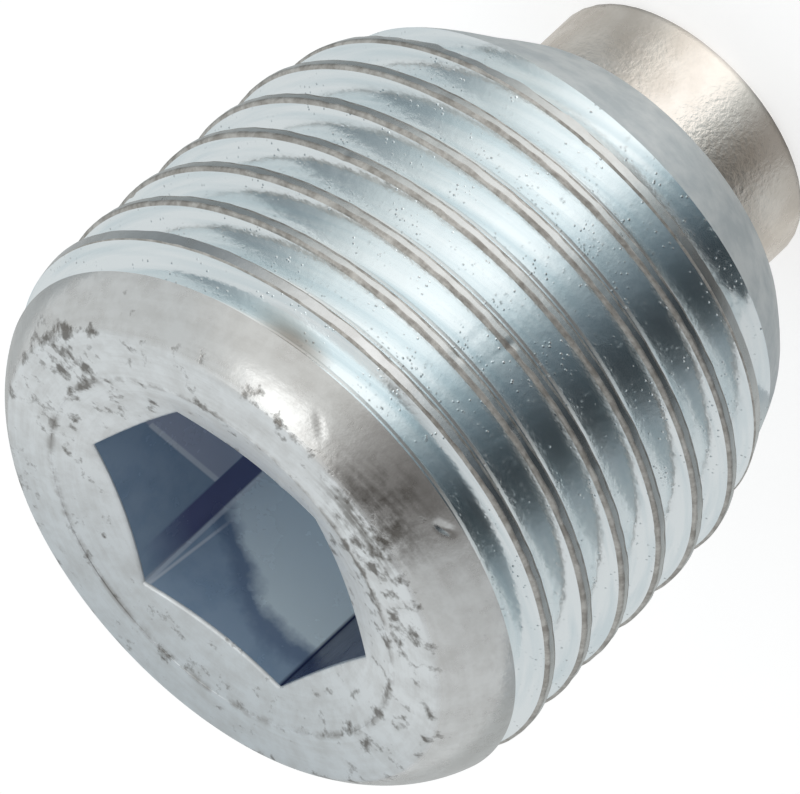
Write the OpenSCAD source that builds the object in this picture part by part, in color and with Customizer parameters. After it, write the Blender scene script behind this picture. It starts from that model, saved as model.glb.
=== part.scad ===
// Magnetic drain plug: a headless taper-thread pipe plug with a hexagon socket in one end and a
// cylindrical magnet bonded into the other. It stands on the magnet's flat end, socket up, with its
// axis along +Z and z = 0 at the magnet's end. Millimetres.

/* [Body] */
// Length of the steel body, from the socket-end face to the nose
body_l = 9.5; // [8.5:0.1:14]
// Major diameter of the thread, taken at the socket-end face
thread_d = 10.5; // [9.5:0.1:14]
// How much the thread's diameter grows for each millimetre of length
thread_taper = 0.0625; // [0:0.0125:0.1]
// Radius of the rounded shoulder at the socket end
shoulder_r = 2.2; // [1.9:0.05:2.6]
// Length of the body that the rounded shoulder takes up
shoulder_l = 1.75; // [1.2:0.05:1.85]

/* [Nose] */
// Diameter of the flat nose around the magnet
nose_d = 6.5; // [6.2:0.1:8]
// Angle between the nose cone and the axis
nose_angle = 38; // [20:1:45]
// Reach of the chamfer that breaks the corner of nose cone and thread surface, along each of them
nose_lead = 0.6; // [0.1:0.05:0.8]

/* [Socket] */
// Width of the hexagon across its flats
socket_af = 4.85; // [4:0.1:5.2]
// Depth of the flat socket floor below the face
socket_depth = 4.1; // [3:0.1:4.8]
// Diameter of the shallow dish that leads into the hexagon
dish_d = 6.9; // [6.3:0.1:7.6]
// Slope of the dish below the plane of the face
dish_angle = 16; // [5:1:25]

/* [Magnet] */
// Diameter of the magnet
magnet_d = 5; // [4:0.1:5.6]
// Whole length of the magnet
magnet_l = 4; // [3:0.1:4.6]
// Length of the magnet that stands out of the nose
magnet_out = 1.95; // [1:0.05:2.2]
// Radius of the magnet's rounded rims
magnet_edge = 0.25; // [0.1:0.05:0.5]
// Film of adhesive all round the magnet's side
bond_gap = 0.03; // [0.01:0.01:0.1]

/* [Hidden] */
$fn = 96;
overcut = 1;
nose_z = magnet_out;
face_z = nose_z + body_l;
shoulder_z = face_z - shoulder_l;
// The thread's surface is a cone: its radius at a height
function thread_radius(z) = (thread_d - thread_taper * (face_z - z)) / 2;
shoulder_top_r = thread_radius(shoulder_z);
shoulder_centre_r = shoulder_top_r - shoulder_r;
nose_slope = tan(nose_angle);
// Height at which the nose cone would meet the thread's surface in a sharp corner
cone_top_z = nose_z + (thread_radius(nose_z) - nose_d / 2) / (nose_slope - thread_taper / 2);
cone_corner = [thread_radius(cone_top_z), cone_top_z];
taper_angle = atan(thread_taper / 2);
lead_start = cone_corner - nose_lead * [sin(nose_angle), cos(nose_angle)];
lead_end = cone_corner + nose_lead * [sin(taper_angle), cos(taper_angle)];
magnet_seat_z = magnet_l;

// Half of the body's outline, from the nose up to the face, for turning about the axis
module body_outline() {
    polygon([
        [0, nose_z],
        [nose_d / 2, nose_z],
        lead_start,
        lead_end,
        [shoulder_top_r, shoulder_z],
        [shoulder_centre_r, shoulder_z],
        [0, shoulder_z],
    ]);
    intersection() {
        translate([shoulder_centre_r, shoulder_z]) circle(r = shoulder_r);
        translate([0, shoulder_z]) square([shoulder_top_r, shoulder_l]);
    }
    translate([0, shoulder_z]) square([shoulder_centre_r, shoulder_l]);
}

// Straight hexagon, with corners on the X axis
module socket_hexagon() {
    translate([0, 0, face_z - socket_depth])
        cylinder(d = socket_af / cos(30), h = socket_depth + overcut, $fn = 6);
}

// Shallow cone that leads into the hexagon, widening up past the face
module socket_dish() {
    dish_h = dish_d / 2 * tan(dish_angle);
    grow = overcut / tan(dish_angle);
    translate([0, 0, face_z - dish_h])
        cylinder(r1 = 0, r2 = dish_d / 2 + grow, h = dish_h + overcut);
}

module magnet_bore() {
    translate([0, 0, nose_z - overcut])
        cylinder(d = magnet_d + 2 * bond_gap, h = magnet_seat_z - nose_z + overcut);
}

// Cold-formed steel, zinc plated
module plug_body() {
    color("lightsteelblue")
        difference() {
            rotate_extrude() body_outline();
            socket_hexagon();
            socket_dish();
            magnet_bore();
        }
}

// Sintered magnet, nickel plated, with tumbled rims
module magnet() {
    rim_r = magnet_d / 2 - magnet_edge;
    color("tan")
        rotate_extrude() {
            square([rim_r, magnet_l]);
            translate([0, magnet_edge]) square([magnet_d / 2, magnet_l - 2 * magnet_edge]);
            for (z = [magnet_edge, magnet_l - magnet_edge])
                intersection() {
                    translate([rim_r, z]) circle(r = magnet_edge);
                    square([magnet_d / 2, magnet_l]);
                }
        }
}

plug_body();
magnet();
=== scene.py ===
from math import asin, atan2, cos, floor, hypot, pi, radians, sin, tan

import bmesh
import bpy
from mathutils import Matrix, Vector, noise


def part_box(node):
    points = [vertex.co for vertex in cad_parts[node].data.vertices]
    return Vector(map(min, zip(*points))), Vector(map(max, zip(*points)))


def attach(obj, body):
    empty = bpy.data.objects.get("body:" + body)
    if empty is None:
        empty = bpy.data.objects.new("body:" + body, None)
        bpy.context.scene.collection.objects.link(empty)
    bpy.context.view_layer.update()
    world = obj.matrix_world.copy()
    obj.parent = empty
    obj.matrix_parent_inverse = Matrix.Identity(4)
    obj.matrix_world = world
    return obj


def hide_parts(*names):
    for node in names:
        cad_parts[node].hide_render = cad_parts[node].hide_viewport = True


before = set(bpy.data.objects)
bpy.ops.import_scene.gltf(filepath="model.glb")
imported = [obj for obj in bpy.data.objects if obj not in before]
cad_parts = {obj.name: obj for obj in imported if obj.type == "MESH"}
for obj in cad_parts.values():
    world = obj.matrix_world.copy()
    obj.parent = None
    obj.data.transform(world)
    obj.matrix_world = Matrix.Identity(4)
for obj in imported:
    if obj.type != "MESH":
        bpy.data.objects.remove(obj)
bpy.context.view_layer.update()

# ---------------------------------------------------------------------------------------------
# Camera. A long lens, far off, looks down on the socket end from beside the plug, and is rolled
# so that the plug's axis runs up to the right, with the magnet at the top.
# ---------------------------------------------------------------------------------------------

MM = 0.001
body_lo, body_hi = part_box("plug_body")
face_z = body_hi.z
view_azimuth = radians(251.2)
view_off_axis = radians(60.8)
view_roll = radians(43)
view_distance = 374 * MM
lens_length, sensor_width = 1080, 36
nearest_seen, farthest_seen = 0.01, 10
mouth_depth = 0.18 * MM
mouth_right, mouth_up = -2.689 * MM, -2.415 * MM


def aim_camera():
    """Looks so that the axis has its slant and the socket's mouth has its place in the view."""
    tip, roll = view_off_axis, view_roll
    along = Vector((sin(tip) * cos(roll), sin(tip) * sin(roll), -cos(tip)))
    across = Vector((-sin(roll), cos(roll), 0))
    facing = Vector((cos(tip) * cos(roll), cos(tip) * sin(roll), sin(tip)))
    down, out = Vector((0, 0, -1)), Vector((cos(view_azimuth), sin(view_azimuth), 0))
    side = Vector((0, 0, 1)).cross(out)
    right, up, back = (along[i] * down + across[i] * side + facing[i] * out for i in range(3))
    middle = Vector((0, 0, face_z - mouth_depth)) - mouth_right * right - mouth_up * up
    turned = Matrix((right, up, back)).transposed().to_4x4()
    return Matrix.Translation(middle + view_distance * back) @ turned


camera = bpy.data.objects.new("camera", bpy.data.cameras.new("camera"))
bpy.context.scene.collection.objects.link(camera)
bpy.context.scene.camera = camera
camera.data.sensor_width = sensor_width
camera.data.lens = lens_length
camera.data.clip_start, camera.data.clip_end = nearest_seen, farthest_seen
camera.matrix_world = aim_camera()

# ---------------------------------------------------------------------------------------------
# Plug body. One piece of steel, cold-formed with its hexagon socket, thread-rolled on a taper
# and barrel zinc plated, so the rolled flanks are smooth and bright, and the face, shoulder and
# crests, which rub against other plugs in the barrel, are dull, nicked and a little dirty.
# ---------------------------------------------------------------------------------------------

# The thread has 27 turns to the inch. The first crest, the run-in, the run-out and the start of
# the nose are measured down from the face.
pitch, thread_depth = 25.4 * MM / 27, 0.61 * MM
crest_flat, root_flat = 0.17 * MM, 0.05 * MM
crest_below_face = 1.68 * MM
face_radius, taper = 5.25 * MM, 0.0625
lip_height, corner_round = 0.06 * MM, 0.04 * MM
runin_start, runin_end, runout_start, runout_end = 0.6 * MM, 0.9 * MM, 7.88 * MM, 8.04 * MM
shoulder_radius, shoulder_length = 2.2 * MM, 1.75 * MM
shoulder_edge = 4.38 * MM
nose_z, nose_start, nose_curve = body_lo.z, 6 * MM, 3.6 * MM
dish_radius, dish_slope = 3.45 * MM, radians(16)
socket_flats, socket_depth = 4.85 * MM, 4.1 * MM
bore_radius, bore_top = 2.53 * MM, 4 * MM
rim_round = 0.055 * MM
turn_steps = 480


def colour(code):
    """sRGB hex to the linear colour that a node takes."""
    parts = [int(code[i : i + 2], 16) / 255 for i in (1, 3, 5)]
    return [p / 12.92 if p <= 0.04045 else ((p + 0.055) / 1.055) ** 2.4 for p in parts] + [1]


def add(tree, kind, inputs=None, **settings):
    """Adds a node with its settings, and a link or a value for each of its inputs. A node that
    the tree already has is taken by its name."""
    node = tree.nodes[kind] if kind in tree.nodes else tree.nodes.new(kind)
    for name, value in settings.items():
        setattr(node, name, value)
    for name, value in (inputs or {}).items():
        if isinstance(value, bpy.types.NodeSocket):
            tree.links.new(value, node.inputs[name])
        else:
            node.inputs[name].default_value = value
    return node


def new_material(name):
    made = bpy.data.materials.new(name)
    made.use_nodes = True
    return made


def place_in_mm(tree):
    """Where a point is on the plug."""
    coords = add(tree, "ShaderNodeTexCoord")
    place = add(tree, "ShaderNodeVectorMath", {
        0: coords.outputs["Object"], "Scale": 1 / MM,
    }, operation="SCALE")
    return place.outputs[0]


def radius_of(tree, at):
    """How far a place is from the axis."""
    flat = add(tree, "ShaderNodeVectorMath", {0: at, 1: (1, 1, 0)}, operation="MULTIPLY")
    return add(tree, "ShaderNodeVectorMath", {0: flat.outputs[0]}, operation="LENGTH").outputs["Value"]


def drawn_round(tree, at, radius):
    """A place whose pattern is drawn out round the axis, as the marks of turning and rolling
    are: it changes 14 times as fast with the radius as it does along the turning direction."""
    pair = add(tree, "ShaderNodeCombineXYZ", {0: radius})
    drawn = add(tree, "ShaderNodeVectorMath", {
        0: pair.outputs[0], 1: (14, 0, 0), 2: at,
    }, operation="MULTIPLY_ADD")
    return drawn.outputs[0]


# Zinc over rolled steel: a bright mirror with a blue cast, drawn into faint lines 0.15 mm apart
# along the thread, with a soft ripple 0.2 mm wide. Here and there it is sown with plating grains
# 0.05 mm across, and one rust spot shows beside the shoulder.
zinc_clean, zinc_blue, zinc_speck, rust = "#f3f8f9", "#e3edf0", "#c3cacd", "#7d6242"
rust_azimuth, rust_radius, rust_below_face, rust_size = radians(273), 4.8, 1.2, (0.5, 0.9, 0.24)

flank = new_material("zinc_rolled_flank")
tree = flank.node_tree
at = place_in_mm(tree)
drawn = drawn_round(tree, at, radius_of(tree, at))
lines = add(tree, "ShaderNodeTexNoise", {"Vector": drawn, "Scale": 0.5, "Detail": 2, "Roughness": 0.5})
ripple = add(tree, "ShaderNodeTexNoise", {"Vector": at, "Scale": 6, "Detail": 2, "Roughness": 0.55})
specks = add(tree, "ShaderNodeTexVoronoi", {"Vector": at, "Scale": 10})
speck = add(tree, "ShaderNodeMapRange", {
    "Value": specks.outputs["Distance"], "From Min": 0.25, "From Max": 0.05,
})
rare = add(tree, "ShaderNodeTexNoise", {"Vector": at, "Scale": 2.3, "Detail": 2})
sown = add(tree, "ShaderNodeMapRange", {"Value": rare.outputs["Fac"], "From Min": 0.5, "From Max": 0.62})
speck = add(tree, "ShaderNodeMath", {0: speck.outputs[0], 1: sown.outputs[0]}, operation="MULTIPLY")
cast = add(tree, "ShaderNodeMapRange", {"Value": lines.outputs["Fac"], "From Min": 0.42, "From Max": 0.68})
tone = add(tree, "ShaderNodeMix", {
    0: cast.outputs[0], 6: colour(zinc_clean), 7: colour(zinc_blue),
}, data_type="RGBA")
tone = add(tree, "ShaderNodeMix", {
    0: speck.outputs[0], 6: tone.outputs[2], 7: colour(zinc_speck),
}, data_type="RGBA")
rust_at = (rust_radius * cos(rust_azimuth), rust_radius * sin(rust_azimuth), face_z / MM - rust_below_face)
rusty = add(tree, "ShaderNodeMapping", {
    "Vector": at, "Location": rust_at, "Rotation": (0, 0, rust_azimuth), "Scale": rust_size,
}, vector_type="TEXTURE")
rusty = add(tree, "ShaderNodeVectorMath", {0: rusty.outputs[0]}, operation="LENGTH")
rusty = add(tree, "ShaderNodeMapRange", {
    "Value": rusty.outputs["Value"], "From Min": 1, "From Max": 0.2, "To Max": 0.6,
})
tone = add(tree, "ShaderNodeMix", {
    0: rusty.outputs[0], 6: tone.outputs[2], 7: colour(rust),
}, data_type="RGBA")
rough = add(tree, "ShaderNodeMapRange", {
    "Value": lines.outputs["Fac"], "From Min": 0.35, "From Max": 0.7, "To Min": 0.11, "To Max": 0.17,
})
bump = add(tree, "ShaderNodeBump", {"Height": ripple.outputs["Fac"], "Strength": 1, "Distance": 0.0032 * MM})
bump = add(tree, "ShaderNodeBump", {
    "Height": speck.outputs[0], "Strength": 1, "Distance": 0.007 * MM, "Normal": bump.outputs[0],
})
add(tree, "Principled BSDF", {
    "Metallic": 1, "Base Color": tone.outputs[2], "Roughness": rough.outputs[0], "Normal": bump.outputs[0],
})

# The lips that rolling turns up along both edges of a crest: matt and grey-brown, partly from dirt
# in patches up to 0.25 mm wide and partly as painted shade along the crest's edges.
lip_colour, lip_dirt_and_shade = "#d0cec9", "#a5a19b"

lip = new_material("zinc_rolled_lip")
tree = lip.node_tree
at = place_in_mm(tree)
patches = add(tree, "ShaderNodeTexNoise", {"Vector": at, "Scale": 4, "Detail": 4, "Roughness": 0.7})
tone = add(tree, "ShaderNodeMapRange", {
    "Value": patches.outputs["Fac"], "From Min": 0.38, "From Max": 0.62,
})
tone = add(tree, "ShaderNodeMix", {
    0: tone.outputs[0], 6: colour(lip_colour), 7: colour(lip_dirt_and_shade),
}, data_type="RGBA")
bump = add(tree, "ShaderNodeBump", {"Height": patches.outputs["Fac"], "Strength": 1, "Distance": 0.01 * MM})
add(tree, "Principled BSDF", {
    "Metallic": 1, "Base Color": tone.outputs[2], "Roughness": 0.48, "Normal": bump.outputs[0],
})

# Worn zinc on all that the plug can rub on: the crests, the shoulder and the face. It is satin,
# with clouds 0.5 mm wide and turning marks 0.1 mm apart, and grime sits in its pits, thickest
# where the face meets the shoulder, the dish and the socket, and in a few spots.
crest_colour, shoulder_colour, face_colour, face_far_shade = "#d7d9d7", "#dfe0df", "#eff2f3", "#ccd3d7"
worn_cloud, grime_and_dark_reflection, dish_edge_shade = "#a5a099", "#575047", "#8d8a86"
# Radius, half width and extra dirt of each dirty ring, in mm.
dirty_rings = [(shoulder_edge / MM, 0.16, 0.07), (dish_radius / MM, 0.14, 0.08), (2.95, 0.05, 0.05)]
# Azimuth in degrees, radius and reach in mm, and extra dirt of each dirty spot on the face.
dirty_spots = [
    (331, 4.1, 1.3, 0.13), (355, 3.6, 0.8, 0.08), (228, 3.65, 0.9, 0.15), (207, 3.6, 0.8, 0.13),
    (138, 4.35, 0.6, 0.12), (150, 3.6, 0.5, 0.09), (180, 3.9, 0.6, 0.07),
]
# Where the grime and the painted dark reflection lie on the shoulder: azimuth, radius in mm and mm below the
# face.
scuff_and_reflection_azimuth, scuff_and_reflection_radius, scuff_and_reflection_below_face = radians(236), 4.5, 0.05

worn = new_material("zinc_barrelled_worn")
tree = worn.node_tree
at = place_in_mm(tree)
radius = radius_of(tree, at)
drawn = drawn_round(tree, at, radius)
parts = add(tree, "ShaderNodeSeparateXYZ", {0: at})
crest_top, edge = (face_z - shoulder_length) / MM, shoulder_edge / MM
on_crest = add(tree, "ShaderNodeMapRange", {
    "Value": parts.outputs[2], "From Min": crest_top + 0.02, "From Max": crest_top - 0.03,
})
on_face = add(tree, "ShaderNodeMapRange", {
    "Value": radius, "From Min": edge + 0.05, "From Max": edge - 0.03,
})
# The face is painted darker towards +Y, the side away from the camera, as painted shade.
far = add(tree, "ShaderNodeMapRange", {"Value": parts.outputs[1], "From Min": 0, "From Max": 4.2})
tone = add(tree, "ShaderNodeMix", {
    0: far.outputs[0], 6: colour(face_colour), 7: colour(face_far_shade),
}, data_type="RGBA")
tone = add(tree, "ShaderNodeMix", {
    0: on_face.outputs[0], 6: colour(shoulder_colour), 7: tone.outputs[2],
}, data_type="RGBA")
tone = add(tree, "ShaderNodeMix", {
    0: on_crest.outputs[0], 6: tone.outputs[2], 7: colour(crest_colour),
}, data_type="RGBA")
clouds = add(tree, "ShaderNodeTexNoise", {"Vector": at, "Scale": 2.2, "Detail": 6, "Roughness": 0.65})
lines = add(tree, "ShaderNodeTexNoise", {"Vector": drawn, "Scale": 0.6, "Detail": 4, "Roughness": 0.65})
grains = add(tree, "ShaderNodeTexNoise", {"Vector": at, "Scale": 3, "Detail": 5, "Roughness": 0.62})
shade = add(tree, "ShaderNodeMath", {
    0: lines.outputs["Fac"], 1: 0.5, 2: clouds.outputs["Fac"],
}, operation="MULTIPLY_ADD")
scuff_and_reflection = add(tree, "ShaderNodeMapRange", {"Value": shade.outputs[0], "From Min": 0.66, "From Max": 0.84})
shade = add(tree, "ShaderNodeMapRange", {
    "Value": shade.outputs[0], "From Min": 0.64, "From Max": 0.95, "To Max": 0.28,
})
tone = add(tree, "ShaderNodeMix", {
    0: shade.outputs[0], 6: tone.outputs[2], 7: colour(worn_cloud),
}, data_type="RGBA")

# Pits lie where the grains' value is high. A dirty ring or spot raises it, so that more pits turn
# up there, and outside 4.4 mm, on the rounded shoulder, it drops, so that fewer do.
dirt = grains.outputs["Fac"]
for ring, half_width, push in dirty_rings:
    off = add(tree, "ShaderNodeMath", {0: radius, 1: ring}, operation="SUBTRACT")
    off = add(tree, "ShaderNodeMath", {0: off.outputs[0]}, operation="ABSOLUTE")
    near = add(tree, "ShaderNodeMapRange", {
        "Value": off.outputs[0], "From Min": half_width, "From Max": 0, "To Max": push,
    })
    dirt = add(tree, "ShaderNodeMath", {0: dirt, 1: near.outputs[0]}, operation="ADD").outputs[0]
for azimuth, spot_radius, reach, push in dirty_spots:
    spot = (spot_radius * cos(radians(azimuth)), spot_radius * sin(radians(azimuth)), face_z / MM)
    away = add(tree, "ShaderNodeVectorMath", {0: at, 1: spot}, operation="DISTANCE")
    near = add(tree, "ShaderNodeMapRange", {
        "Value": away.outputs["Value"], "From Min": reach, "From Max": reach / 4, "To Max": push,
    })
    dirt = add(tree, "ShaderNodeMath", {0: dirt, 1: near.outputs[0]}, operation="ADD").outputs[0]
fewer = add(tree, "ShaderNodeMapRange", {
    "Value": radius, "From Min": 4.75, "From Max": 4.4, "To Min": -0.08, "To Max": 0,
})
dirt = add(tree, "ShaderNodeMath", {0: dirt, 1: fewer.outputs[0]}, operation="ADD").outputs[0]
pits = add(tree, "ShaderNodeMapRange", {"Value": dirt, "From Min": 0.6, "From Max": 0.73, "To Max": 0.8})
tone = add(tree, "ShaderNodeMix", {
    0: pits.outputs[0], 6: tone.outputs[2], 7: colour(grime_and_dark_reflection),
}, data_type="RGBA")

# A thin dark line of painted shade, broken where the clouds are light, follows the dish's edge.
off = add(tree, "ShaderNodeMath", {0: radius, 1: dish_radius / MM + 0.01}, operation="SUBTRACT")
off = add(tree, "ShaderNodeMath", {0: off.outputs[0]}, operation="ABSOLUTE")
line = add(tree, "ShaderNodeMapRange", {
    "Value": off.outputs[0], "From Min": 0.1, "From Max": 0.01, "To Max": 0.6,
})
broken = add(tree, "ShaderNodeMapRange", {
    "Value": clouds.outputs["Fac"], "From Min": 0.42, "From Max": 0.6,
})
line = add(tree, "ShaderNodeMath", {0: line.outputs[0], 1: broken.outputs[0]}, operation="MULTIPLY")
tone = add(tree, "ShaderNodeMix", {
    0: line.outputs[0], 6: tone.outputs[2], 7: colour(dish_edge_shade),
}, data_type="RGBA")

# In one place, where the shoulder meets the face, the turning marks are darkened: partly with
# grime rubbed into them and partly as a painted dark reflection.
scuff_and_reflection_at = (
    scuff_and_reflection_radius * cos(scuff_and_reflection_azimuth), scuff_and_reflection_radius * sin(scuff_and_reflection_azimuth), face_z / MM - scuff_and_reflection_below_face,
)
away = add(tree, "ShaderNodeVectorMath", {0: at, 1: scuff_and_reflection_at}, operation="DISTANCE")
scuff_and_reflection_reach = add(tree, "ShaderNodeMapRange", {
    "Value": away.outputs["Value"], "From Min": 1.2, "From Max": 0.35, "To Max": 0.75,
})
scuff_and_reflection = add(tree, "ShaderNodeMath", {
    0: scuff_and_reflection.outputs[0], 1: scuff_and_reflection_reach.outputs[0],
}, operation="MULTIPLY", use_clamp=True)
tone = add(tree, "ShaderNodeMix", {
    0: scuff_and_reflection.outputs[0], 6: tone.outputs[2], 7: colour(grime_and_dark_reflection),
}, data_type="RGBA")
rough = add(tree, "ShaderNodeMapRange", {
    "Value": clouds.outputs["Fac"], "From Min": 0.3, "From Max": 0.7, "To Min": 0.19, "To Max": 0.3,
})
rough = add(tree, "ShaderNodeMath", {
    0: on_face.outputs[0], 1: 0.17, 2: rough.outputs[0],
}, operation="MULTIPLY_ADD")
relief = add(tree, "ShaderNodeMath", {
    0: pits.outputs[0], 1: -1.2, 2: grains.outputs["Fac"],
}, operation="MULTIPLY_ADD")
relief = add(tree, "ShaderNodeMath", {
    0: lines.outputs["Fac"], 1: 0.3, 2: relief.outputs[0],
}, operation="MULTIPLY_ADD")
bump = add(tree, "ShaderNodeBump", {"Height": relief.outputs[0], "Strength": 1, "Distance": 0.007 * MM})
add(tree, "Principled BSDF", {
    "Metallic": 1, "Base Color": tone.outputs[2], "Roughness": rough.outputs[0], "Normal": bump.outputs[0],
})

# The nose was sheared, not rolled, so its zinc has grown dull and powdery, blotched every 0.6 mm,
# and hides most of the metal's shine.
nose_colour, nose_blotch = "#e3e8e9", "#ccd4d7"

nose = new_material("zinc_dull_nose")
tree = nose.node_tree
at = place_in_mm(tree)
blotches = add(tree, "ShaderNodeTexNoise", {"Vector": at, "Scale": 1.6, "Detail": 5, "Roughness": 0.6})
powder = add(tree, "ShaderNodeTexNoise", {"Vector": at, "Scale": 8, "Detail": 3, "Roughness": 0.7})
tone = add(tree, "ShaderNodeMapRange", {
    "Value": blotches.outputs["Fac"], "From Min": 0.38, "From Max": 0.64,
})
tone = add(tree, "ShaderNodeMix", {
    0: tone.outputs[0], 6: colour(nose_colour), 7: colour(nose_blotch),
}, data_type="RGBA")
bump = add(tree, "ShaderNodeBump", {"Height": powder.outputs["Fac"], "Strength": 1, "Distance": 0.008 * MM})
add(tree, "Principled BSDF", {
    "Metallic": 0.3, "Base Color": tone.outputs[2], "Roughness": 0.6, "Normal": bump.outputs[0],
})

# Inside the socket nothing rubs: the punched walls are smooth under a thick blue chromate film,
# which has dried violet beside one of the corners. One wall's pale patch low down, with its wavy
# darker edge, and the slanting pale line and lavender on the next wall are painted reflections of
# the dish, the rim and the mouth; the third wall is painted dark all over, as painted shade. The
# stains' places are mm along a wall from its middle and mm below the face.
socket_slate, socket_blue = "#9cb2c8", "#8aa3bc"
rim_reflection_edge, pale, drip_and_rim_reflection, violet, shaded_wall_navy, lavender = "#6f829e", "#eafaff", "#eef4fa", "#666c96", "#222c50", "#c4cadb"
half_flats, wall_soft = socket_flats / 2 / MM, 0.05

socket = new_material("zinc_punched_socket")
tree = socket.node_tree
at = place_in_mm(tree)
parts = add(tree, "ShaderNodeSeparateXYZ", {0: at})
depth = add(tree, "ShaderNodeMath", {0: face_z / MM, 1: parts.outputs[2]}, operation="SUBTRACT").outputs[0]
smears = add(tree, "ShaderNodeTexNoise", {"Vector": at, "Scale": 1.4, "Detail": 4, "Roughness": 0.6})
smear = add(tree, "ShaderNodeMapRange", {
    "Value": smears.outputs["Fac"], "From Min": 0.4, "From Max": 0.68,
})
tone = add(tree, "ShaderNodeMix", {
    0: smear.outputs[0], 6: colour(socket_slate), 7: colour(socket_blue),
}, data_type="RGBA")
tone = tone.outputs[2]


def within(value, first, last, soft):
    """1 between two values, fading to 0 past them."""
    above = add(tree, "ShaderNodeMapRange", {"Value": value, "From Min": first - soft, "From Max": first})
    below = add(tree, "ShaderNodeMapRange", {"Value": value, "From Min": last + soft, "From Max": last})
    both = add(tree, "ShaderNodeMath", {0: above.outputs[0], 1: below.outputs[0]}, operation="MULTIPLY")
    return both.outputs[0]


def wall(turned):
    """How far a point is along the wall that stands square to Y after the turn, and whether it
    lies on that wall."""
    seen_square = add(tree, "ShaderNodeMapping", {"Vector": at, "Rotation": (0, 0, radians(turned))})
    parts = add(tree, "ShaderNodeSeparateXYZ", {0: seen_square.outputs[0]})
    return parts.outputs[0], within(parts.outputs[1], half_flats - 0.01, half_flats + 1, wall_soft)


def stained(tone, masks, stain, most):
    """Lays a stain over the tone where all the masks are 1, and at most so strongly."""
    mask = most
    for m in masks:
        mask = add(tree, "ShaderNodeMath", {0: mask, 1: m}, operation="MULTIPLY").outputs[0]
    return add(tree, "ShaderNodeMix", {0: mask, 6: tone, 7: colour(stain)}, data_type="RGBA").outputs[2]


# On this wall a pale patch, a painted reflection of the dish and the rim, starts deeper at one end,
# behind a wavy darker edge of the same painted reflection, and two thin drips run down beside the
# corner.
along, on_wall = wall(0)
wavy = add(tree, "ShaderNodeMath", {0: smears.outputs["Fac"], 1: 0.7, 2: depth}, operation="MULTIPLY_ADD")
slope = add(tree, "ShaderNodeMapRange", {
    "Value": along, "From Min": -0.4, "From Max": 1.3, "To Min": 0, "To Max": 1,
})
wavy = add(tree, "ShaderNodeMath", {
    0: slope.outputs[0], 1: -1.2, 2: wavy.outputs[0],
}, operation="MULTIPLY_ADD").outputs[0]
tone = stained(tone, [on_wall, within(wavy, 1.2, 1.5, 0.3)], rim_reflection_edge, 0.7)
tone = stained(tone, [on_wall, within(wavy, 1.6, 9, 0.3)], pale, 1)
tone = stained(tone, [on_wall, within(along, 1.35, 1.5, 0.03)], drip_and_rim_reflection, 0.5)
slanted = add(tree, "ShaderNodeMath", {0: depth, 1: 0.09, 2: along}, operation="MULTIPLY_ADD").outputs[0]
tone = stained(tone, [on_wall, within(slanted, 1.34, 1.36, 0.03), within(depth, 0, 1.6, 0.6)], drip_and_rim_reflection, 0.6)

# The wall beside it: violet deep in the corner, and a slanting pale line with lavender under it,
# both painted reflections of the rim and the mouth.
along, on_wall = wall(60)
tone = stained(tone, [on_wall, within(along, -1.36, -0.9, 0.05), within(depth, 1.5, 9, 1.1)], violet, 1)
slanted = add(tree, "ShaderNodeMath", {0: along, 1: 0.47, 2: depth}, operation="MULTIPLY_ADD").outputs[0]
tone = stained(tone, [on_wall, within(slanted, 1.81, 9, 0.03), within(along, -0.86, 2, 0.02)], lavender, 0.9)
tone = stained(tone, [on_wall, within(slanted, 1.79, 1.86, 0.03), within(along, -0.86, 0.9, 0.02)], drip_and_rim_reflection, 0.8)

# The wall on the other side is painted dark all over, as painted shade.
along, on_wall = wall(-60)
tone = stained(tone, [on_wall], shaded_wall_navy, 1)

rough = add(tree, "ShaderNodeMapRange", {
    "Value": smears.outputs["Fac"], "From Min": 0.4, "From Max": 0.7, "To Min": 0.2, "To Max": 0.32,
})
# The punch leaves fine lines down the walls, a sixth of a millimetre apart.
down_wall = add(tree, "ShaderNodeMapping", {"Vector": at, "Scale": (6, 6, 0.5)})
lines = add(tree, "ShaderNodeTexNoise", {"Vector": down_wall.outputs[0], "Scale": 1, "Detail": 3})
bump = add(tree, "ShaderNodeBump", {"Height": lines.outputs["Fac"], "Strength": 1, "Distance": 0.003 * MM})
add(tree, "Principled BSDF", {
    "Metallic": 0.1, "Base Color": tone, "Roughness": rough.outputs[0], "Normal": bump.outputs[0],
})

finishes = [flank, lip, worn, nose, socket]
FLANK, LIP, WORN, NOSE, SOCKET = range(len(finishes))


def thread_radius(z):
    return face_radius - taper / 2 * (face_z - z)


def outer_radius(z):
    """The tapered outside of the blank, which curves in like a barrel towards the nose."""
    past = max(0, face_z - z - nose_start)
    return thread_radius(z) - past * past / (2 * nose_curve)


lean_by, lean_start, lean_length, lean_azimuth = 0.24 * MM, 7.8 * MM, 1.2 * MM, radians(161)


def lean(v):
    """The nose was sheared a little off the axis."""
    share = min(max(0, (face_z - v.co.z - lean_start) / lean_length), 1)
    v.co += share * share * (3 - 2 * share) * lean_by * Vector((cos(lean_azimuth), sin(lean_azimuth), 0))


def mesh_object(name, bm):
    """Turns the bmesh's faces outwards, and makes it an object with all of the body's finishes."""
    bmesh.ops.recalc_face_normals(bm, faces=bm.faces[:])
    mesh = bpy.data.meshes.new(name)
    bm.to_mesh(mesh)
    bm.free()
    for finish in finishes:
        mesh.materials.append(finish)
    made = bpy.data.objects.new(name, mesh)
    bpy.context.scene.collection.objects.link(made)
    return made


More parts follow.
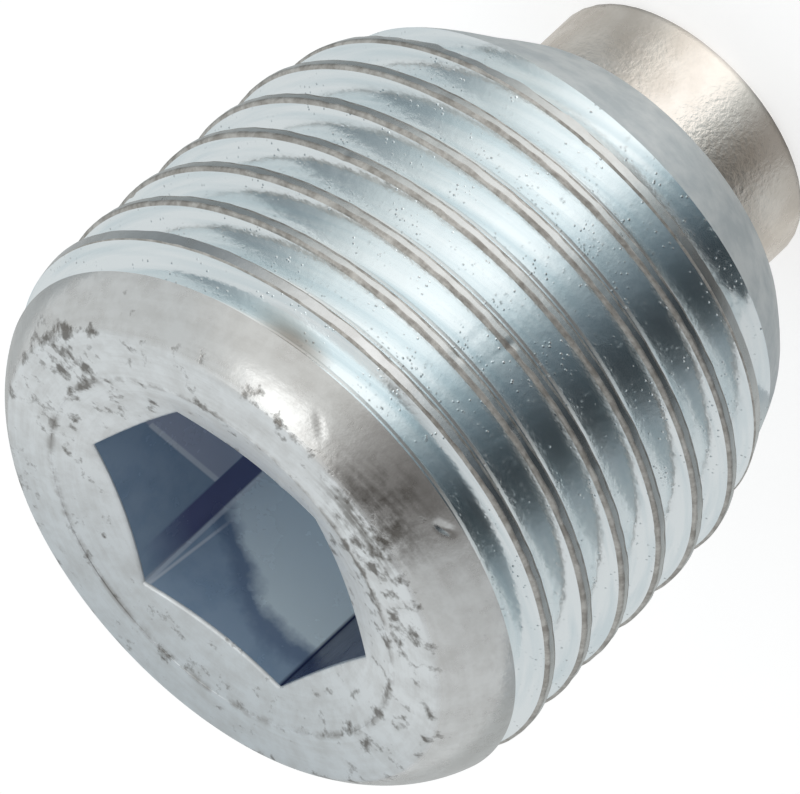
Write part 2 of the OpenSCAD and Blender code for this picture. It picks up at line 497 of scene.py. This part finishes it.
def turn(bm, points, rise=0):
    """Draws a line of (radius, height) points and turns it once about the axis. With a rise it
    climbs as it turns, and each pitch of the line meets the next one where the turn ends."""
    verts = [bm.verts.new((r, 0, z)) for r, z in points]
    for a, b in zip(verts, verts[1:]):
        bm.edges.new((a, b))
    bmesh.ops.spin(
        bm, geom=bm.verts[:] + bm.edges[:], cent=(0, 0, 0), axis=(0, 0, 1), dvec=(0, 0, rise / turn_steps),
        angle=2 * pi, steps=turn_steps, use_merge=not rise,
    )
    bmesh.ops.remove_doubles(bm, verts=bm.verts[:], dist=0.001 * MM)


# How far each unevenness of the thread goes, in mm, and how many times it changes in each mm:
# the flanks wander, and the lips are ragged, more so near the nose, and beaten down in places.
flank_wander, wander_rate = 0.01, 0.7
lip_raggedness, ragged_rate = 0.024, 3.3
lip_beaten, beaten_rate, beaten_over = 0.03, 1.7, 0.25
beaten_place = Vector((9, 4, 2))
torn_start, torn_length, torn_more = 7 * MM, 0.3 * MM, 3
# A jump in place far past any pattern's reach, so that a crest's two lips are not torn alike.
other_lip = 20
# Near the nose the thread is left a little proud, and the blank trims it.
nose_spare_start, nose_spare = 7.1 * MM, 0.1
corner_angle = radians(30)


def rolled_thread():
    """The screw surface, with a small lip along both edges of its crest. It is filled in where it
    starts under the shoulder and where it runs out at the nose, and cut off square past both."""
    bm = bmesh.new()
    turns, turns_below_crest = 15, 10
    hair, past_end = 0.01 * MM, 0.3 * MM
    start = face_z - crest_below_face - pitch * (view_azimuth / (2 * pi) + turns_below_crest)
    root = face_radius - thread_depth
    lip_start = face_radius - lip_height
    lip_half = crest_flat / 2 + lip_height * (pitch - root_flat - crest_flat) / 2 / thread_depth
    ridge = [
        (root, (root_flat - pitch) / 2), (lip_start, -lip_half), (face_radius, -crest_flat / 2),
        (face_radius, crest_flat / 2), (lip_start, lip_half), (root, (pitch - root_flat) / 2),
    ]
    turn(bm, [(r, start + n * pitch + z) for n in range(turns) for r, z in ridge], rise=pitch)
    for f in bm.faces:
        lowest = min(hypot(v.co.x, v.co.y) for v in f.verts)
        f.material_index = FLANK
        if lowest > lip_start - hair:
            f.material_index = LIP
        if lowest > face_radius - hair:
            f.material_index = WORN
    corners = [e for e in bm.edges if len(e.link_faces) == 2 and e.calc_face_angle() > corner_angle]
    rounded = bmesh.ops.bevel(
        bm, geom=corners, offset=corner_round, offset_type="OFFSET", affect="EDGES",
        segments=3, profile=0.5, material=-1,
    )
    for f in rounded["faces"]:
        centre = f.calc_center_median()
        f.material_index = LIP if hypot(centre.x, centre.y) > face_radius - thread_depth / 2 else FLANK
    for v in bm.verts:
        r = hypot(v.co.x, v.co.y)
        swing = atan2(v.co.y, v.co.x) / (2 * pi)
        across = (v.co.z - start) / pitch - swing
        side = 1 if across % 1 < 0.5 else -1
        groove = face_z - start - pitch * (floor(across) + 0.5 + swing)
        running_out = (groove - runout_start) / (runout_end - runout_start)
        running_in = (runin_end - groove) / (runin_end - runin_start)
        filled = min(max(running_out, running_in, 0), 1)
        near_crest = (r - root) / thread_depth
        at_lip = max(0, 1 - (face_radius - r) / lip_height)
        here = v.co / MM + Vector((0, 0, other_lip * side))
        wander = flank_wander * near_crest * noise.noise(wander_rate * here)
        torn = 1 + torn_more * min(max(0, groove - torn_start) / torn_length, 1)
        beaten = max(0, noise.noise(beaten_rate * here + beaten_place) - beaten_over)
        v.co.z += (wander + lip_raggedness * torn * at_lip * noise.noise(ragged_rate * here)) * MM
        sunk = (face_radius - r) * (1 - filled) + at_lip * beaten * lip_beaten * MM
        spare = nose_spare * max(0, face_z - v.co.z - nose_spare_start)
        v.co.xy *= (outer_radius(v.co.z) + spare - sunk) / r
        lean(v)
    for height, up in ((nose_z - past_end, -1), (face_z + past_end, 1)):
        cut = bmesh.ops.bisect_plane(
            bm, geom=bm.verts[:] + bm.edges[:] + bm.faces[:], plane_co=(0, 0, height),
            plane_no=(0, 0, up), clear_outer=True,
        )
        rim = [e for e in cut["geom_cut"] if isinstance(e, bmesh.types.BMEdge)]
        bmesh.ops.holes_fill(bm, edges=rim, sides=0)
    return mesh_object("plug_body_steel", bm)


def arc(centre, radius, first, last, steps):
    """Points of an arc about a (radius, height) centre, from one angle to another."""
    angles = [first + (last - first) * i / steps for i in range(steps + 1)]
    return [(centre[0] + radius * cos(a), centre[1] + radius * sin(a)) for a in angles]


def turned_blank():
    """The blank before rolling: bore, nose, barrel and rounded shoulder. Between the barrel and
    the shoulder it stands clear of the thread, which it later trims."""
    bm = bmesh.new()
    shoulder_z = face_z - shoulder_length
    step_z = shoulder_z - 0.05 * MM
    top_radius = thread_radius(shoulder_z)
    clear_of_thread = top_radius + 0.4 * MM
    shoulder_centre = (top_radius - shoulder_radius, shoulder_z)
    shoulder_end = asin(shoulder_length / shoulder_radius)
    nose_end_z = face_z - nose_start
    nose_steps, shoulder_steps = 24, 40
    nose_heights = [nose_z + (nose_end_z - nose_z) * i / nose_steps for i in range(nose_steps + 1)]
    turn(bm, [
        (0, bore_top), (bore_radius, bore_top), (bore_radius, nose_z),
        *((outer_radius(z), z) for z in nose_heights), (clear_of_thread, nose_end_z),
        (clear_of_thread, step_z), (top_radius, step_z),
        *arc(shoulder_centre, shoulder_radius, 0, shoulder_end, shoulder_steps), (0, face_z),
    ])
    dull_below = face_z - 7.6 * MM
    for f in bm.faces:
        f.material_index = NOSE if f.calc_center_median().z < dull_below else WORN
    hair = 0.001 * MM
    edge = shoulder_centre[0] + shoulder_radius * cos(shoulder_end)
    rims = [
        e for e in bm.edges
        if all(v.co.z > face_z - hair / 10 and hypot(v.co.x, v.co.y) > edge - hair for v in e.verts)
        or all(v.co.z < nose_z + hair / 10 and hypot(v.co.x, v.co.y) > bore_radius + hair for v in e.verts)
    ]
    bmesh.ops.bevel(
        bm, geom=rims, offset=rim_round, offset_type="OFFSET", affect="EDGES",
        segments=4, profile=0.5, material=-1,
    )
    for v in bm.verts:
        if hypot(v.co.x, v.co.y) > bore_radius + hair:
            lean(v)
    return mesh_object("blank", bm)


def socket_punch():
    """The punch that forms the dish and the hexagon: its sides are the socket's walls."""
    bm = bmesh.new()
    half = socket_flats / 2
    dish_step, clear_of_face, wall_start = 0.012 * MM, 0.05 * MM, 0.1 * MM

    def on_dish(r):
        return face_z - dish_step - (dish_radius - r) * tan(dish_slope)

    def next_loop(edges, place):
        grown = bmesh.ops.extrude_edge_only(bm, edges=edges)["geom"]
        for v in (g for g in grown if isinstance(g, bmesh.types.BMVert)):
            v.co = place(v.co)
        return [g for g in grown if isinstance(g, bmesh.types.BMEdge)]

    def to_hexagon(co):
        r = half / cos(atan2(co.y, co.x) % (pi / 3) - pi / 6)
        return Vector((*(co.xy.normalized() * r), on_dish(r)))

    bmesh.ops.create_circle(
        bm, cap_ends=False, segments=turn_steps, radius=dish_radius + clear_of_face,
        matrix=Matrix.Translation((0, 0, face_z + clear_of_face)),
    )
    loop = bm.edges[:]
    bmesh.ops.holes_fill(bm, edges=loop, sides=0)
    dish = next_loop(loop, lambda co: Vector((*(co.xy.normalized() * dish_radius), on_dish(dish_radius))))
    rim = next_loop(dish, to_hexagon)
    end = next_loop(rim, lambda co: Vector((co.x, co.y, face_z - socket_depth)))
    bmesh.ops.holes_fill(bm, edges=end, sides=0)
    for f in bm.faces:
        f.material_index = SOCKET if f.calc_center_median().z < on_dish(half) - wall_start else WORN
    rounded = bmesh.ops.bevel(
        bm, geom=rim, offset=rim_round, offset_type="OFFSET", affect="EDGES",
        segments=3, profile=0.5, material=-1,
    )
    for f in rounded["faces"]:
        f.material_index = WORN
    return mesh_object("punch", bm)


def form(piece, tool, operation):
    """Cuts a piece with a tool, and drops the tool."""
    cut = piece.modifiers.new("cut", "BOOLEAN")
    cut.operation, cut.solver, cut.object = operation, "MANIFOLD", tool
    shaped = bpy.data.meshes.new_from_object(piece.evaluated_get(bpy.context.evaluated_depsgraph_get()))
    piece.modifiers.clear()
    piece.data = shaped
    bpy.data.objects.remove(tool)


plug_body = rolled_thread()
form(plug_body, turned_blank(), "INTERSECT")
form(plug_body, socket_punch(), "DIFFERENCE")

# Nicks from other plugs in the barrel: azimuth in degrees, mm below the face, mm long each way
# from the middle, mm wide each way, mm deep, and slant in degrees. On the thread they mark only
# the crests, not the flanks under them.
nicks = [
    (227.2, 0.78, 0.26, 0.08, 0.06, 25), (256.8, 0.34, 0.3, 0.06, 0.02, -30),
    (275.5, 4.88, 0.12, 0.1, 0.03, 60), (291.1, 4.32, 0.15, 0.1, 0.025, 0),
    (268.5, 4.38, 0.12, 0.1, 0.02, 70), (248.7, 2.72, 0.12, 0.1, 0.025, 20),
    (244, 3.52, 0.13, 0.1, 0.03, 80), (261.7, 7.19, 0.1, 0.1, 0.025, 0),
    (213.2, 6.28, 0.15, 0.1, 0.03, 0), (192.9, 4.47, 0.15, 0.1, 0.025, 30),
    (233, 2.6, 0.12, 0.1, 0.02, 0), (222, 4.4, 0.14, 0.1, 0.025, 40),
    (40, 2.4, 0.2, 0.1, 0.03, 20), (110, 4.1, 0.15, 0.1, 0.025, 0), (75, 6.1, 0.12, 0.1, 0.025, 60),
    (340, 3.2, 0.15, 0.1, 0.025, 10), (150, 0.9, 0.25, 0.07, 0.03, -40), (20, 0.7, 0.3, 0.06, 0.03, 15),
]
farthest_up, farthest_round = 0.4 * MM, 0.1
first_crest, crest_reach = 1.6 * MM, 0.07 * MM
sharp_angle = radians(25)

bm = bmesh.new()
bm.from_mesh(plug_body.data)
for azimuth, below, length, width, deep_by, slant in nicks:
    tilt, middle = radians(slant), face_z - below * MM
    for v in bm.verts:
        if abs(v.co.z - middle) > farthest_up:
            continue
        swing = (atan2(v.co.y, v.co.x) - radians(azimuth) + pi) % (2 * pi) - pi
        r = hypot(v.co.x, v.co.y)
        on_flank = middle < face_z - first_crest and r < outer_radius(v.co.z) - crest_reach
        if abs(swing) > farthest_round or on_flank:
            continue
        u, w = swing * r / MM, (v.co.z - middle) / MM
        reach = hypot((u * cos(tilt) + w * sin(tilt)) / length, (w * cos(tilt) - u * sin(tilt)) / width)
        v.co.xy *= 1 - max(0, 1 - reach * reach) ** 2 * deep_by * MM / r
for f in bm.faces:
    f.smooth = True
for e in bm.edges:
    finishes_met = {f.material_index for f in e.link_faces}
    e.smooth = e.calc_face_angle() < sharp_angle and finishes_met != {FLANK, LIP}
bm.to_mesh(plug_body.data)
bm.free()
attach(plug_body, "root")
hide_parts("plug_body")

# ---------------------------------------------------------------------------------------------
# Magnet. A sintered disc magnet, tumbled so that its rims are round and then nickel plated. It
# stands in a bore in the nose, held by a thin film of adhesive.
# ---------------------------------------------------------------------------------------------

# The nickel is warm and bright, with faint stains 1 mm wide, and follows the orange peel of the
# pressed powder under it, which changes every 0.1 mm.
nickel_colour, nickel_stain = "#f8f2ea", "#dfd6cb"

nickel = new_material("nickel_plated_magnet")
tree = nickel.node_tree
at = place_in_mm(tree)
peel = add(tree, "ShaderNodeTexNoise", {"Vector": at, "Scale": 10, "Detail": 3, "Roughness": 0.6})
stains = add(tree, "ShaderNodeTexNoise", {"Vector": at, "Scale": 0.9, "Detail": 4})
tone = add(tree, "ShaderNodeMapRange", {"Value": stains.outputs["Fac"], "From Min": 0.42, "From Max": 0.7})
tone = add(tree, "ShaderNodeMix", {
    0: tone.outputs[0], 6: colour(nickel_colour), 7: colour(nickel_stain),
}, data_type="RGBA")
rough = add(tree, "ShaderNodeMapRange", {
    "Value": stains.outputs["Fac"], "From Min": 0.3, "From Max": 0.7, "To Min": 0.22, "To Max": 0.3,
})
bump = add(tree, "ShaderNodeBump", {"Height": peel.outputs["Fac"], "Strength": 1, "Distance": 0.02 * MM})
add(tree, "Principled BSDF", {
    "Metallic": 1, "Base Color": tone.outputs[2], "Roughness": rough.outputs[0], "Normal": bump.outputs[0],
})
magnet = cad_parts["magnet"]
magnet.data.materials.clear()
magnet.data.materials.append(nickel)

# ---------------------------------------------------------------------------------------------
# Studio. A white paper floor, glowing cards laid round the plug that show only in its metal, a
# pale room with one dark side, and a softbox.
# ---------------------------------------------------------------------------------------------

# Tones of the cards and of the room, by degrees round the plug from the camera, clockwise from
# above. The dark stretch is what draws the shape of bright metal.
card_tones = [
    (-180, "#b2b4b4"), (-120, "#8f9598"), (-100, "#7f868a"), (-86, "#7c8387"), (-70, "#979c9f"),
    (-60, "#b8bcbd"), (-50, "#d4d6d6"), (-40, "#e7e8e8"), (-30, "#efefef"), (-18, "#f9f9f9"),
    (-8, "#f9f9f9"), (0, "#ebedee"), (8, "#c4cbce"), (16, "#949da1"), (28, "#677076"), (40, "#444b50"),
    (50, "#33383c"), (60, "#3c4144"), (68, "#565b5e"), (78, "#80868a"), (90, "#8d9396"),
    (110, "#959a9d"), (130, "#a8abab"), (180, "#b2b4b4"),
]
room_tones = [
    (-180, "#e4e7e8"), (-120, "#e4e7e8"), (-80, "#e0e3e4"), (-55, "#f2f2f0"), (-12, "#f2f2f0"),
    (4, "#aeacaa"), (16, "#8f8c8a"), (26, "#777472"), (38, "#7c7977"), (50, "#a3a2a1"),
    (62, "#cfd1d2"), (110, "#e2e4e5"), (180, "#e4e7e8"),
]
paper_white, warm_white, white = colour("#f2f2f2"), colour("#ece5dd"), (1, 1, 1, 1)


def disc(name, radius, height):
    """A flat round sheet, and its material's emptied node tree."""
    bm = bmesh.new()
    bmesh.ops.create_circle(
        bm, cap_ends=True, segments=64, radius=radius, matrix=Matrix.Translation((0, 0, height)),
    )
    mesh = bpy.data.meshes.new(name)
    bm.to_mesh(mesh)
    bm.free()
    sheet = bpy.data.objects.new(name, mesh)
    bpy.context.scene.collection.objects.link(sheet)
    paper = new_material(name + "_paper")
    paper.node_tree.nodes.clear()
    mesh.materials.append(paper)
    return sheet, paper.node_tree


def tones_around(tree, direction, stops, widen=0):
    """A ramp of tones by the azimuth of a direction. Cards that lie near the plug are turned out
    by a share of their azimuth, to stand where its curved metal would see distant ones."""
    turned = add(tree, "ShaderNodeMapping", {"Vector": direction, "Rotation": (0, 0, -view_azimuth)})
    parts = add(tree, "ShaderNodeSeparateXYZ", {0: turned.outputs[0]})
    azimuth = add(tree, "ShaderNodeMath", {0: parts.outputs[1], 1: parts.outputs[0]}, operation="ARCTAN2")
    azimuth = add(tree, "ShaderNodeMath", {
        0: azimuth.outputs[0], 1: widen, 2: azimuth.outputs[0],
    }, operation="MULTIPLY_ADD")
    place = add(tree, "ShaderNodeMapRange", {"Value": azimuth.outputs[0], "From Min": pi, "From Max": -pi})
    ramp = add(tree, "ShaderNodeValToRGB", {"Fac": place.outputs[0]})
    elements = ramp.color_ramp.elements
    while len(elements) < len(stops):
        elements.new(0.5)
    for element, (degrees, tone) in zip(elements, stops):
        element.position, element.color = degrees / 360 + 0.5, colour(tone)
    return ramp.outputs[0]


# The camera and the metal see the floor as two fifths glow and three fifths paper, which is white
# where nothing shades it and still takes the plug's shadow. Other light meets plain paper.
floor_radius, glow_strength, glow_share = 2, 1.66, 0.4
tree = disc("floor", floor_radius, 0)[1]
path = add(tree, "ShaderNodeLightPath")
seen = add(tree, "ShaderNodeMath", {
    0: path.outputs["Is Camera Ray"], 1: path.outputs["Is Glossy Ray"],
}, operation="MAXIMUM")
paper = add(tree, "ShaderNodeBsdfDiffuse", {"Color": paper_white})
glow = add(tree, "ShaderNodeEmission", {"Color": white, "Strength": glow_strength})
lit = add(tree, "ShaderNodeMixShader", {0: glow_share, 1: paper.outputs[0], 2: glow.outputs[0]})
split = add(tree, "ShaderNodeMixShader", {0: seen.outputs[0], 1: paper.outputs[0], 2: lit.outputs[0]})
add(tree, "ShaderNodeOutputMaterial", {"Surface": split.outputs[0]})

# The cards glow with their tones. Under the magnet their glow is turned down, as a painted
# shadow, and beside it warmed, as painted light that the magnet's own nickel sends them.
cards_radius, cards_height, widen_by, widen_floor = 0.4, 0.02 * MM, 2.2 * MM, 0.4 * MM
dim_inside, full_outside, dim_strength, full_strength = 2.25 * MM, 2.6 * MM, 0.4, 1.25
warm_inside, cool_outside, warm_share = 3.5 * MM, 7 * MM, 0.24
cards, tree = disc("cards", cards_radius, cards_height)
coords = add(tree, "ShaderNodeTexCoord")
spread = add(tree, "ShaderNodeVectorMath", {0: coords.outputs["Object"]}, operation="LENGTH").outputs["Value"]
near = add(tree, "ShaderNodeMath", {0: spread, 1: widen_floor}, operation="ADD")
near = add(tree, "ShaderNodeMath", {0: widen_by, 1: near.outputs[0]}, operation="DIVIDE")
tones = tones_around(tree, coords.outputs["Object"], card_tones, near.outputs[0])
strength = add(tree, "ShaderNodeMapRange", {
    "Value": spread, "From Min": dim_inside, "From Max": full_outside,
    "To Min": dim_strength, "To Max": full_strength,
})
warm = add(tree, "ShaderNodeMapRange", {
    "Value": spread, "From Min": cool_outside, "From Max": warm_inside, "To Max": warm_share,
})
tones = add(tree, "ShaderNodeMix", {0: warm.outputs[0], 6: tones, 7: warm_white}, data_type="RGBA")
glow = add(tree, "ShaderNodeEmission", {"Color": tones.outputs[2], "Strength": strength.outputs[0]})
add(tree, "ShaderNodeOutputMaterial", {"Surface": glow.outputs[0]})
cards.visible_camera = cards.visible_shadow = cards.visible_diffuse = False

# The room is white only where the camera looks past the floor. Its tones light the plug, and
# show in its metal.
room_strength = 0.9
room = bpy.data.worlds.new("room")
room.use_nodes = True
tree = room.node_tree
coords = add(tree, "ShaderNodeTexCoord")
tones = tones_around(tree, coords.outputs["Generated"], room_tones)
toned = add(tree, "Background", {"Color": tones, "Strength": room_strength})
plain = add(tree, "ShaderNodeBackground", {"Color": white, "Strength": 1})
path = add(tree, "ShaderNodeLightPath")
split = add(tree, "ShaderNodeMixShader", {
    0: path.outputs["Is Camera Ray"], 1: toned.outputs[0], 2: plain.outputs[0],
})
add(tree, "World Output", {"Surface": split.outputs[0]})
bpy.context.scene.world = room
bpy.context.scene.view_settings.view_transform = "Standard"

# The softbox hangs high up, 38 degrees round from the camera, and puts the light on the shoulder.
box_azimuth, box_elevation, box_distance = view_azimuth + radians(38), radians(62), 0.3
box_width, box_length, box_energy = 0.12, 0.16, 0.05
softbox = bpy.data.lights.new("softbox", "AREA")
softbox.shape, softbox.size, softbox.size_y = "RECTANGLE", box_width, box_length
softbox.energy = box_energy
out = Vector((
    cos(box_azimuth) * cos(box_elevation), sin(box_azimuth) * cos(box_elevation), sin(box_elevation),
))
lamp = bpy.data.objects.new("softbox", softbox)
lamp.matrix_world = Matrix.Translation(out * box_distance) @ out.to_track_quat("Z", "Y").to_matrix().to_4x4()
bpy.context.scene.collection.objects.link(lamp)
